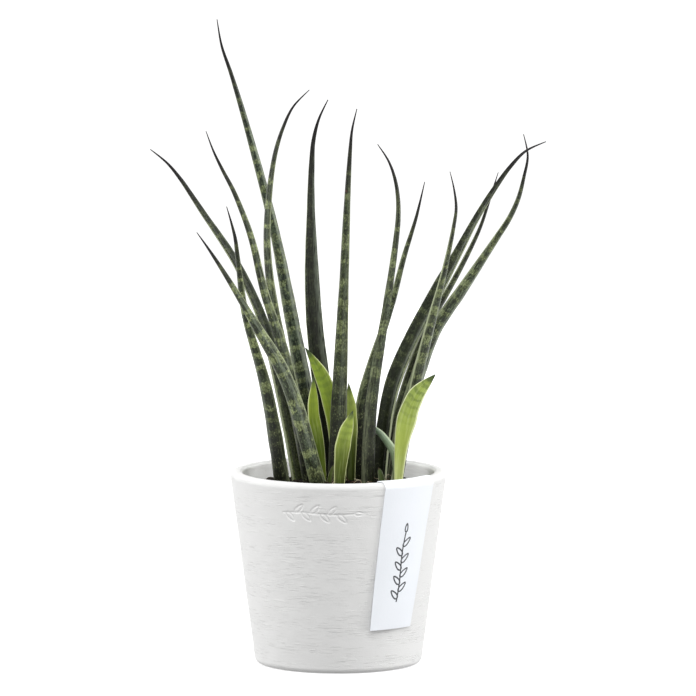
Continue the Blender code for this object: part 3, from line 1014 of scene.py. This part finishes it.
def arc(centre: tuple[float, float], radius: float, start: float, end: float,
        steps: int) -> list[tuple[float, float]]:
    """Points on an arc in the profile plane.

    Args:
        centre: The arc's middle as (radius, height).
        radius: The arc's own radius.
        start: First angle in degrees, from outward towards up.
        end: Last angle.
        steps: Number of stretches.

    Returns:
        The points, both ends included.
    """
    turns = np.radians(np.linspace(start, end, steps + 1))
    return [(centre[0] + radius * math.cos(turn), centre[1] + radius * math.sin(turn)) for turn in turns]


# --- the potting mix ------------------------------------------------------------------


LUMP_SIDES, LUMP_RINGS = 7, 5
LUMP_TILT = 0.6
LUMP_GRAIN = 420.0
SMALL_BIAS = 2.2
THREAD_SIDES = 6
THREAD_TAPER = 0.7


def litter_tree() -> GeometryTree:
    """The tree that scatters uneven lumps over a surface."""
    sizes = ("Density", "Smallest", "Largest", "Length", "Flatness", "Lumpiness")
    tree = GeometryTree("litter", {**dict.fromkeys(sizes, "Float"), "Seed": "Int"})
    entry = tree.entry
    points = tree.add("GeometryNodeDistributePointsOnFaces", {"distribute_method": "RANDOM"},
                      {"Mesh": entry["Geometry"], "Density": entry["Density"], "Seed": entry["Seed"]},
                      "Points")
    points = tree.store(points, "shade", tree.vector(tree.chance(0.0, 1.0, entry["Seed"] + 1),
                                                     tree.chance(0.0, 1.0, entry["Seed"] + 2), 0.0))
    lump = tree.add("GeometryNodeMeshUVSphere", None,
                    {"Segments": LUMP_SIDES, "Rings": LUMP_RINGS, "Radius": 0.5}, "Mesh")
    bigness = tree.chance(0.0, 1.0, entry["Seed"] + 3) ** SMALL_BIAS
    size = entry["Smallest"] + (entry["Largest"] - entry["Smallest"]) * bigness
    stretch = tree.vector(size * entry["Length"], size, size * entry["Flatness"])
    turn = tree.vector(tree.chance(-LUMP_TILT, LUMP_TILT, entry["Seed"] + 4),
                       tree.chance(-LUMP_TILT, LUMP_TILT, entry["Seed"] + 5),
                       tree.chance(0.0, math.tau, entry["Seed"] + 6))
    lumps = tree.add("GeometryNodeInstanceOnPoints", None,
                     {"Points": points, "Instance": lump, "Rotation": turn, "Scale": stretch})
    real = tree.add("GeometryNodeRealizeInstances", None, {0: lumps})
    here = tree.add("GeometryNodeInputPosition")
    push = tree.add("ShaderNodeTexNoise", None, {"Vector": here, "Scale": LUMP_GRAIN, "Detail": 1.0},
                    "Color")
    offset = (tree.add("ShaderNodeVectorMath", {"operation": "SUBTRACT"}, {0: push, 1: 0.5})
              * entry["Lumpiness"])
    tree.close(tree.add("GeometryNodeSetPosition", None, {"Geometry": real, "Offset": offset}))
    return tree


def thread_tree() -> GeometryTree:
    """The tree that turns lines into thin round threads, finer towards the end."""
    tree = GeometryTree("thread", {"Radius": "Float"})
    line = tree.add("GeometryNodeMeshToCurve", None, {0: tree.entry["Geometry"]})
    share = tree.add("GeometryNodeSplineParameter", None, None, "Factor")
    line = tree.add("GeometryNodeSetCurveRadius", None,
                    {"Curve": line, "Radius": 1.0 - share * THREAD_TAPER})
    ring = tree.add("GeometryNodeCurvePrimitiveCircle", {"mode": "RADIUS"},
                    {"Resolution": THREAD_SIDES, "Radius": tree.entry["Radius"]}, "Curve")
    tree.close(tree.add("GeometryNodeCurveToMesh", None,
                        {"Curve": line, "Profile Curve": ring, "Fill Caps": True}))
    return tree


@dataclass(frozen=True)
class RootHairs:
    """Fine fibres that curl out of the soil around the leaves' feet."""

    name: str
    count: int
    radius: float
    reach: float
    dark: Colour
    light: Colour
    seed: int
    PATCH = ((-0.006, 0.034), (-0.034, 0.012))
    LIFTS = (-0.12, 0.3, 0.42, 0.3)
    STRIDE = 0.3
    SWERVE = 0.9

    def build(self, mix: "PottingMix", tree: GeometryTree) -> bpy.types.Object:
        """Grow the fibres.

        Args:
            mix: The soil that they come out of.
            tree: The thread tree.

        Returns:
            The piece.
        """
        dice = random.Random(self.seed)
        lines = []
        for _ in range(self.count):
            x, y = (dice.uniform(*ends) for ends in self.PATCH)
            heading = dice.uniform(0.0, math.tau)
            knots = []
            for share in self.LIFTS:
                lift = self.reach * share * dice.uniform(0.7, 1.3)
                knots.append((x, y, mix.height(x, y) + lift))
                heading += dice.uniform(-self.SWERVE, self.SWERVE)
                x += math.cos(heading) * self.reach * self.STRIDE
                y += math.sin(heading) * self.reach * self.STRIDE
            lines.append(smooth_curve(np.array(knots), 14))
        skin = self.finish()
        mesh = tree.grow(wire_mesh(self.name, lines), self.name, Radius=self.radius, Material=skin)
        return set_piece(self.name, mesh, skin)

    def finish(self) -> bpy.types.Material:
        """Dry fibre, paler and darker along its length."""
        tree = MaterialTree(self.name)
        tone = tree.grain(tree.place(), 700.0, 2.0)
        colour = tree.blend(tone.rise(0.35, 0.65), self.dark, self.light)
        return tree.finish(tone, 0.00003, Base_Color=colour, Roughness=0.8, Specular_IOR_Level=0.25)


@dataclass(frozen=True)
class Bract:
    """A short dry sheath at a leaf's foot, standing free of its node."""

    finish: YoungFinish
    place: tuple[float, float]
    lean: tuple[float, float]
    reach: float
    half_width: float
    facing: float

    def build(self, mix: "PottingMix", tree: GeometryTree) -> bpy.types.Object:
        """Grow the sheath out of the soil.

        Args:
            mix: The soil that it stands in.
            tree: The blade tree.

        Returns:
            The piece.
        """
        form = LeafForm.YOUNG.value
        shares = np.linspace(0.0, 1.0, 12)
        foot = np.array([*self.place, mix.height(*self.place) - 0.002])
        bend = np.outer(shares ** 2, (*self.lean, 0.0))
        spine = foot + bend + np.outer(shares, (0.0, 0.0, self.reach))
        half_widths = self.half_width * np.interp(shares, (0.0, 0.5, 0.85, 1.0), (0.8, 1.0, 0.6, 0.06))
        front = (math.cos(self.facing), math.sin(self.facing), 0.0)
        name = self.finish.name
        line = wire_mesh(name, [spine], **form.sections(half_widths, shares),
                         front=[np.tile(front, (len(shares), 1))])
        skin = self.finish.material()
        mesh = tree.grow(line, name, Around=32, Rows=48, Ridges=0.03, Waver=0.5,
                         Seed=float(self.finish.seed), Material=skin)
        return set_piece(name, mesh, skin)


@dataclass(frozen=True)
class Litter:
    """One kind of bit in the potting mix."""

    name: str
    density: float
    smallest: float
    largest: float
    length: float
    flatness: float
    lumpiness: float
    dark: Colour
    light: Colour
    seed: int

    def build(self, tree: GeometryTree, surface: bpy.types.Mesh) -> bpy.types.Object:
        """Scatter the bits.

        Args:
            tree: The litter tree.
            surface: What they lie on.

        Returns:
            The piece.
        """
        skin = self.finish()
        mesh = tree.grow(surface, self.name, Density=self.density, Smallest=self.smallest,
                         Largest=self.largest, Length=self.length, Flatness=self.flatness,
                         Lumpiness=self.lumpiness, Seed=self.seed, Material=skin)
        return set_piece(self.name, mesh, skin)

    def finish(self) -> bpy.types.Material:
        """Matte grains, each in its own shade."""
        tree = MaterialTree(self.name)
        shade = tree.attribute("shade").parts()[0]
        fine = tree.grain(tree.place(), 2600.0, 3.0)
        colour = tree.blend(shade * 0.7 + fine * 0.5 - 0.1, self.dark, self.light)
        return tree.finish(fine, 0.0002, Base_Color=colour, Roughness=0.9, Specular_IOR_Level=0.2)


class PottingMix:
    """The soil: a domed, crumbly plug with scattered crumbs, bark, grit and root hairs."""

    NODE = "potting_soil"
    LITTER = (
        Litter("soil_crumbs", density=330000.0, smallest=0.0008, largest=0.0042, length=1.15, flatness=0.8,
               lumpiness=0.0012, dark=srgb(9, 8, 7), light=srgb(30, 26, 21), seed=11),
        Litter("bark_chips", density=26000.0, smallest=0.0022, largest=0.0062, length=1.8, flatness=0.42,
               lumpiness=0.0012, dark=srgb(20, 17, 13), light=srgb(54, 44, 34), seed=23),
        Litter("grit_grains", density=4000.0, smallest=0.0006, largest=0.002, length=1.1, flatness=0.8,
               lumpiness=0.0006, dark=srgb(150, 146, 136), light=srgb(214, 210, 200), seed=37),
    )
    HAIRS = (
        RootHairs("root_hairs", count=26, radius=0.00014, reach=0.0105,
                  dark=srgb(120, 104, 80), light=srgb(206, 196, 170), seed=5),
        RootHairs("peat_fibres", count=40, radius=0.00016, reach=0.007,
                  dark=srgb(26, 20, 15), light=srgb(82, 60, 42), seed=6),
    )
    BRACTS = (
        Bract(YoungFinish("bract_1", seed=11.0, foot=srgb(46, 50, 24), middle=srgb(66, 76, 32),
                          upper=srgb(96, 104, 58), margin=srgb(140, 140, 100), tip=srgb(60, 50, 34)),
              place=(-0.0045, -0.0125), lean=(0.0024, -0.001), reach=0.013, half_width=0.0012,
              facing=math.radians(-110.0)),
        Bract(YoungFinish("bract_2", seed=12.0, foot=srgb(26, 30, 14), middle=srgb(46, 54, 30),
                          upper=srgb(70, 80, 50), margin=srgb(126, 132, 100), tip=srgb(70, 58, 40)),
              place=(0.0215, -0.011), lean=(-0.002, -0.001), reach=0.012, half_width=0.0018,
              facing=math.radians(-60.0)),
    )
    RINGS = 60
    STEPS = 180
    BED_SHARE = 0.86
    SWELL = 0.0011
    PITS = 0.0006

    def __init__(self, pot: CastPot) -> None:
        """Measure the CAD soil in its pot."""
        self.pot = pot
        radius, _, z = cad_polar(self.NODE)
        self.edge_radius = radius.max()
        self.edge_z = z[radius.argmax()]
        self.top_z = z.max()
        self.floor = z.min()

    def height(self, x: float, y: float) -> float:
        """The soil surface's height."""
        share = min(1.0, math.hypot(x, y) / self.edge_radius)
        dome = self.edge_z + (self.top_z - self.edge_z) * math.cos(0.5 * math.pi * share)
        lumps = self.SWELL * noise.fractal(Vector((x, y, 0.0)) * 90, 0.9, 2.0, 4)
        return dome + lumps - self.PITS * noise.voronoi(Vector((x, y, 0.0)) * 300)[0][0]

    def build(self, litter: GeometryTree, threads: GeometryTree, blades: GeometryTree) -> None:
        """Make the plug, scatter the litter on it and grow the small bits out of it."""
        angles = np.linspace(0.0, math.tau, self.STEPS, endpoint=False)
        shares = np.sin(np.linspace(0.0, 0.5 * math.pi, self.RINGS)) ** 0.9
        flat = [[(self.edge_radius * share * math.cos(a), self.edge_radius * share * math.sin(a))
                 for a in angles] for share in shares]
        top = np.array([[(x, y, self.height(x, y)) for x, y in ring] for ring in flat])
        side = []
        for z in np.linspace(self.edge_z - 0.002, self.floor, 12):
            reach = self.pot.inner(z) - (self.pot.inner(self.edge_z) - self.edge_radius)
            side.append([(reach * math.cos(a), reach * math.sin(a), z) for a in angles])
        end = [[(0.0, 0.0, self.floor)] * self.STEPS]
        plug = skin_over("soil_plug", np.concatenate([top, side, end]), crease=80.0)
        set_piece("soil_plug", plug, self.finish(), [self.NODE])
        for bits in self.LITTER:
            bits.build(litter, self._bed(top))
        for hairs in self.HAIRS:
            hairs.build(self, threads)
        for bract in self.BRACTS:
            bract.build(self, blades)

    def _bed(self, top: np.ndarray) -> bpy.types.Mesh:
        """The open surface that the litter lies on, a little inside the wall."""
        return sheet_over("soil_bed", top[:int(self.RINGS * self.BED_SHARE)])

    def finish(self) -> bpy.types.Material:
        """Damp dark peat with brown crumbs."""
        tree = MaterialTree("potting_peat")
        place = tree.place()
        coarse = tree.grain(place, 260.0, 4.0, 0.6)
        fine = tree.grain(place, 1800.0, 3.0, 0.6)
        colour = tree.paint(srgb(9, 8, 7), (coarse.rise(0.35, 0.7), srgb(28, 24, 19)),
                            (fine.rise(0.6, 0.75) * 0.6, srgb(46, 40, 32)))
        return tree.finish(coarse * 0.6 + fine * 0.4, 0.0009, Base_Color=colour, Roughness=0.82 + 0.1 * fine,
                           Specular_IOR_Level=0.25)


# --- the label ------------------------------------------------------------------------


class HangLabel:
    """The strip of card folded over the rim, and the sprig printed on it."""

    NODE = "hang_label"
    CARD = 0.0004
    SLACK = 0.0003
    PRINT = Sprig(length=0.0345, height=0.0088, leaves=8, line=0.0007)
    PRINT_LIFT = 0.00003
    PRINT_MIDDLE = 0.042
    COLUMNS = 40
    CURL, CURL_BASE = 0.0011, 0.35
    BUCKLE, BUCKLE_DOWN, BUCKLE_ACROSS = 0.0002, 9, 2

    def __init__(self, pot: CastPot) -> None:
        """Measure the CAD label.

        Args:
            pot: The pot that it hangs on.
        """
        self.pot = pot
        radius, azimuth, z = cad_polar(self.NODE)
        foot = z < z.min() + 0.0005
        top = z > z.max() - 0.0004
        self.foot_z = z.min()
        self.tuck_z = z[radius < pot.inner(pot.height * 0.95) + 0.0005].min()
        self.foot_turn, self.foot_half = self._spread(azimuth[foot], radius[foot])
        self.top_turn, self.top_half = self._spread(azimuth[top], radius[top])
        self.path = self._path()

    def _spread(self, azimuth: np.ndarray, radius: np.ndarray) -> tuple[float, float]:
        """The middle angle and half width of a row of corners."""
        return (azimuth.max() + azimuth.min()) / 2, (azimuth.max() - azimuth.min()) / 2 * radius.mean()

    def _path(self) -> np.ndarray:
        """The card's middle line as (radius, height, out) rows; out is how far it is down the outside."""
        pot, gap = self.pot, self.CARD / 2 + self.SLACK
        lip_z, rim_round = pot.height - pot.lip_round, pot.height - pot.rim_z
        rows = [(pot.inner(z) - gap, z, 0.0) for z in np.linspace(self.tuck_z, lip_z, 10)[:-1]]
        inner_middle = (pot.inner(lip_z) + pot.lip_round, lip_z)
        rows += [(r, z, 0.0) for r, z in arc(inner_middle, pot.lip_round + gap, 180, 90, 12)]
        rows += [(r, z, pot.height - z) for r, z in
                 arc((pot.rim_radius - rim_round, pot.rim_z), rim_round + gap, 90, 0, 14)]
        rows += [(pot.outer(z) + gap, z, pot.height - z)
                 for z in np.linspace(pot.rim_z, self.foot_z, 90)[1:]]
        return np.array(rows)

    def place(self, radius: float, z: float, out: float, across: float,
              lift: float) -> tuple[float, float, float]:
        """A point on the card.

        Args:
            radius: The card's middle line there.
            z: Its height there.
            out: How far it is down the outside.
            across: From -1 at the left edge to 1 at the right.
            lift: How far from the middle of the card, outward.

        Returns:
            The point.
        """
        down = out / (self.pot.height - self.foot_z)
        half = self.top_half + (self.foot_half - self.top_half) * down
        middle = self.top_turn + (self.foot_turn - self.top_turn) * down
        corner = self.CURL_BASE + (1.0 - self.CURL_BASE) * max(0.0, -across) ** 2
        wave = math.sin(self.BUCKLE_DOWN * down + self.BUCKLE_ACROSS * across)
        curl = self.CURL * down ** 2 * corner + self.BUCKLE * wave * down
        reach = radius + lift + curl
        turn = middle + across * half / radius
        return reach * math.cos(turn), reach * math.sin(turn), z

    def build(self) -> None:
        """Make the card and its print."""
        across = np.linspace(-1.0, 1.0, self.COLUMNS)
        ring = [(a, self.CARD / 2) for a in across] + [(a, -self.CARD / 2) for a in across[::-1]]
        tilt = np.gradient(self.path[:, :2], axis=0)
        tilt /= np.linalg.norm(tilt, axis=1, keepdims=True)
        loops = []
        for (radius, z, out), (run, climb) in zip(self.path, tilt):
            loops.append([self.place(radius, z - lift * run, out, a, -lift * climb) for a, lift in ring])
        card = skin_over("label_card", np.array(loops), crease=50.0)
        set_piece("label_card", card, self.card_finish(), [self.NODE])
        self._print()

    def _on_face(self, down: float, sideways: float, lift: float) -> tuple[float, float, float]:
        """A point on the outer face, from how far down and sideways it is."""
        z = self.pot.height - down
        half = self.top_half + (self.foot_half - self.top_half) * down / (self.pot.height - self.foot_z)
        gap = self.CARD / 2 + self.SLACK
        return self.place(self.pot.outer(z) + gap, z, down, sideways / half, self.CARD / 2 + lift)

    def _print(self) -> None:
        """Lay each stroke of the sprig on the card as a thin raised ribbon."""
        ribbons = []
        for number, stroke in enumerate(self.PRINT.strokes()):
            run = np.gradient(stroke, axis=0)
            closed = np.allclose(stroke[0], stroke[-1])
            if closed:
                run[0] = run[-1] = stroke[1] - stroke[-2]
            run /= np.linalg.norm(run, axis=1, keepdims=True)
            normal = np.stack([-run[:, 1], run[:, 0]], axis=1) * self.PRINT.line / 2
            loops = []
            for spot, way in zip(stroke, normal):
                corners = [(spot + way, 1), (spot - way, 1), (spot - way, -1), (spot + way, -1)]
                loops.append([self._on_face(self.PRINT_MIDDLE - x, y, side * self.PRINT_LIFT)
                              for (x, y), side in corners])
            loops = np.array(loops[:-1] if closed else loops)
            ribbons.append(skin_over(f"stroke_{number}", loops, joined=closed))
        mesh = join_meshes("label_print", ribbons)
        set_piece("label_print", mesh, self.ink())

    def card_finish(self) -> bpy.types.Material:
        """Smooth white card with a faint cool tone and paper grain."""
        tree = MaterialTree("label_paper")
        place = tree.place()
        fibre = tree.grain(place * (1.0, 1.0, 0.5), 1400.0, 3.0)
        cloud = tree.grain(place, 90.0, 2.0)
        colour = tree.paint(srgb(239, 243, 248), (cloud, srgb(243, 246, 251)),
                            (fibre.rise(0.6, 0.8) * 0.25, srgb(228, 232, 236)))
        return tree.finish(fibre, 0.00003, Base_Color=colour, Roughness=0.5 + 0.1 * fibre,
                           Specular_IOR_Level=0.35)

    def ink(self) -> bpy.types.Material:
        """Dark grey ink, a little uneven."""
        tree = MaterialTree("label_ink")
        fine = tree.grain(tree.place(), 2200.0, 2.0)
        colour = tree.blend(fine, srgb(58, 60, 64), srgb(84, 86, 90))
        return tree.finish(fine, 0.00001, Base_Color=colour, Roughness=0.55, Specular_IOR_Level=0.3)


# --- studio ---------------------------------------------------------------------------


@dataclass(frozen=True)
class SoftBox:
    """One soft light, aimed at the plant: where it stands, its side and its strength."""

    name: str
    place: tuple[float, float, float]
    side: float
    watts: float

    def build(self, target: Vector) -> None:
        """Hang the light so that only its light is seen."""
        light = bpy.data.lights.new(self.name, "AREA")
        light.shape = "SQUARE"
        light.size = self.side
        light.energy = self.watts
        lamp = new_object(self.name, light)
        lamp.location = self.place
        lamp.rotation_euler = (target - lamp.location).to_track_quat("-Z", "Y").to_euler()
        lamp.visible_camera = False


class Studio:
    """A white floor, a white surround and soft light from both sides."""

    AIM = Vector((0.00472, 0.0, 0.15385))
    EYE = Vector((0.00472, -4.0, 0.6422))
    LENS = 429.1
    SENSOR = 36.0
    CLIP = (0.1, 100.0)
    GLOW, SEEN_GLOW = 0.42, 0.68
    FLOOR_SIDE = 3.0
    FLOOR_DROP = 0.0002
    LIGHTS = (
        SoftBox("left_light", (-1.55, 0.41, 0.5), 1.2, 20.5),
        SoftBox("right_light", (1.59, 0.14, 0.6), 1.2, 21.0),
        SoftBox("front_light", (0.0, -1.1, 1.5), 1.2, 26.5),
        SoftBox("top_light", (0.0, 0.3, 2.2), 1.2, 12.0),
        SoftBox("back_light", (0.0, 2.2, 0.9), 2.0, 14.0),
    )

    def build(self) -> None:
        """Set up the camera, the lights, the surround and the floor."""
        lens = bpy.data.cameras.new("camera")
        lens.lens = self.LENS
        lens.sensor_width = self.SENSOR
        lens.clip_start, lens.clip_end = self.CLIP
        camera = new_object("camera", lens)
        camera.location = self.EYE
        camera.rotation_euler = (self.AIM - self.EYE).to_track_quat("-Z", "Y").to_euler()
        bpy.context.scene.camera = camera
        bpy.context.scene.view_settings.view_transform = "Standard"
        for light in self.LIGHTS:
            light.build(self.AIM)
        self._surround()
        self._floor()

    def _surround(self) -> None:
        """A dim white surround that looks pure white itself."""
        world = bpy.data.worlds.new("surround")
        world.use_nodes = True
        world.node_tree.nodes.clear()
        tree = Tree(world.node_tree)
        seen = tree.add("ShaderNodeLightPath", None, None, "Is Camera Ray")
        glow = tree.add("ShaderNodeBackground", None,
                        {"Color": (1.0, 1.0, 1.0), "Strength": self.GLOW + self.SEEN_GLOW * seen})
        tree.add("ShaderNodeOutputWorld", None, {"Surface": glow})
        bpy.context.scene.world = world

    def _floor(self) -> None:
        """A plain white floor."""
        reach = self.FLOOR_SIDE / 2
        corners = [(-reach, -reach, 0), (reach, -reach, 0), (reach, reach, 0), (-reach, reach, 0)]
        mesh = bpy.data.meshes.new("floor")
        mesh.from_pydata(corners, [], [(0, 1, 2, 3)])
        floor = new_object("floor", mesh)
        floor.location.z = -self.FLOOR_DROP
        tree = MaterialTree("floor_white")
        fine = tree.grain(tree.place(), 40.0)
        finish = tree.finish(fine, 0.00001, Base_Color=(0.85, 0.85, 0.85), Roughness=0.8,
                             Specular_IOR_Level=0.0, Emission_Color=(1.0, 1.0, 1.0), Emission_Strength=0.5)
        mesh.materials.append(finish)
        floor.visible_diffuse = False


def main() -> None:
    """Build the plant's pieces and the studio."""
    logging.basicConfig(level=logging.INFO, format="%(message)s", stream=sys.stdout)
    Studio().build()
    blades = blade_tree()
    for leaf in LEAVES:
        leaf.build(blades)
    pot = CastPot()
    pot.build()
    PottingMix(pot).build(litter_tree(), thread_tree(), blades)
    HangLabel(pot).build()


if __name__ == "__main__":
    main()
